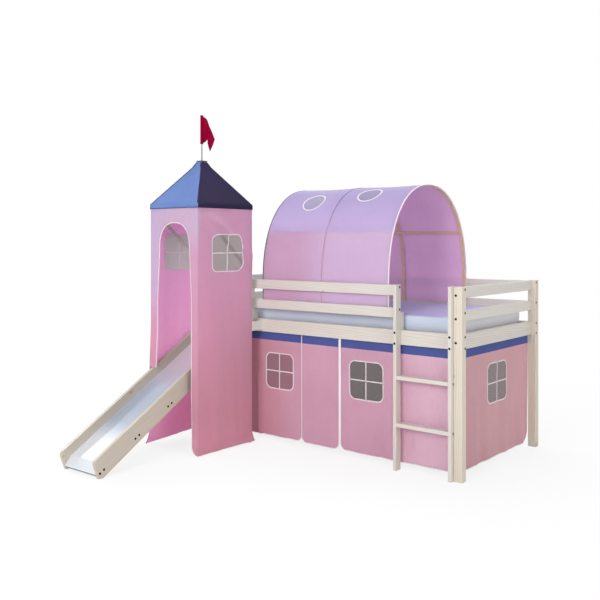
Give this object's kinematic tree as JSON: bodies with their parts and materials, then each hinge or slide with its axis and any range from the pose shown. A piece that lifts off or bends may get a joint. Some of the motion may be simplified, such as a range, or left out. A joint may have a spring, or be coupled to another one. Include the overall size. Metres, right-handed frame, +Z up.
{
  "type": "loft bed with slide",
  "caption": "Mid-height pine loft bed with slatted base, mattress, ladder, slide, fabric play tower with flag, tunnel tent and play curtains.",
  "frame": {"origin": "middle of the whole footprint (bed, tower and slide), on the floor", "axes": "+X along the bed, to the right seen from the slide side; +Y from the slide's foot to the back of the bed; +Z up"},
  "size_m": [2.185, 2.397, 2.26],
  "materials": {
    "whitewashed_pine": "white-washed and clear varnished",
    "bare_pine": "planed, unvarnished",
    "bent_wood": "bent laminated strip, clear varnished",
    "slide_laminate": "glossy white laminate",
    "mattress_ticking": "woven ticking",
    "pink_cotton": "plain woven cotton",
    "lilac_cotton": "plain woven cotton",
    "blue_cotton": "plain woven cotton",
    "crimson_cotton": "plain woven cotton",
    "white_piping": "folded cotton binding",
    "window_net": "fine polyester net",
    "grey_plastic": "moulded, satin",
    "white_plastic": "extruded rod, glossy",
    "dark_bolt": "black zinc plated"
  },
  "bodies": {
    "bed": {"post_front_left": "whitewashed_pine", "post_rear_left": "whitewashed_pine", "post_front_right": "whitewashed_pine", "post_rear_right": "whitewashed_pine", "rail_front": "whitewashed_pine", "rail_rear": "whitewashed_pine", "guard_rear_mid": "whitewashed_pine", "guard_rear_top": "whitewashed_pine", "end_board_left_lower": "whitewashed_pine", "end_board_left_mid": "whitewashed_pine", "end_board_left_top": "whitewashed_pine", "end_board_right_lower": "whitewashed_pine", "end_board_right_mid": "whitewashed_pine", "end_board_right_top": "whitewashed_pine", "guard_front_mid": "whitewashed_pine", "guard_front_top": "whitewashed_pine", "guard_upright": "whitewashed_pine", "guard_block_left": "whitewashed_pine", "guard_block_right": "whitewashed_pine", "ladder_stile_right": "whitewashed_pine", "ladder_stile_left": "whitewashed_pine", "ladder_rung_1": "whitewashed_pine", "ladder_rung_2": "whitewashed_pine", "slat_ledge_front": "whitewashed_pine", "slat_ledge_rear": "whitewashed_pine", "slat_roll": "bare_pine", "mattress": "mattress_ticking", "slide_side_right": "whitewashed_pine", "slide_side_left": "whitewashed_pine", "slide_panel": "slide_laminate", "slide_toe_board": "whitewashed_pine", "slide_batten_1": "whitewashed_pine", "slide_batten_2": "whitewashed_pine", "slide_batten_3": "whitewashed_pine", "slide_batten_4": "whitewashed_pine", "slide_cleat": "whitewashed_pine", "tower_upright_right": "whitewashed_pine", "tower_bracket_right": "whitewashed_pine", "tower_brace_right": "bent_wood", "tower_upright_left": "whitewashed_pine", "tower_bracket_left": "whitewashed_pine", "tower_brace_left": "bent_wood", "tower_roof_frame": "bent_wood", "crown_cap": "grey_plastic", "flagpole": "white_plastic", "tower_roof_cloth": "blue_cotton", "tower_walls": "pink_cotton", "tunnel_hoop_1": "bent_wood", "tunnel_hoop_2": "bent_wood", "tunnel_hoop_3": "bent_wood", "tunnel_purlin_front": "bent_wood", "tunnel_purlin_rear": "bent_wood", "tunnel_cover": "lilac_cotton", "curtain_front_left": "pink_cotton", "curtain_front_right": "pink_cotton", "curtain_end_left": "pink_cotton", "curtain_end_right": "pink_cotton"},
    "door_curtain": {"curtain_door": "pink_cotton"},
    "flag": {"flag": "crimson_cotton"}
  },
  "joints": [
    {"name": "door_curtain_lift", "type": "hinge", "parent": "bed", "child": "door_curtain", "pos_m": [0.0235, 0.14853, 0.7587], "axis": [1, 0, 0], "range_deg": [-80, 80]},
    {"name": "flag_swivel", "type": "hinge", "parent": "bed", "child": "flag", "pos_m": [-0.7183, -0.22247, 2.161], "axis": [0, 0, 1], "continuous": true}
  ]
}
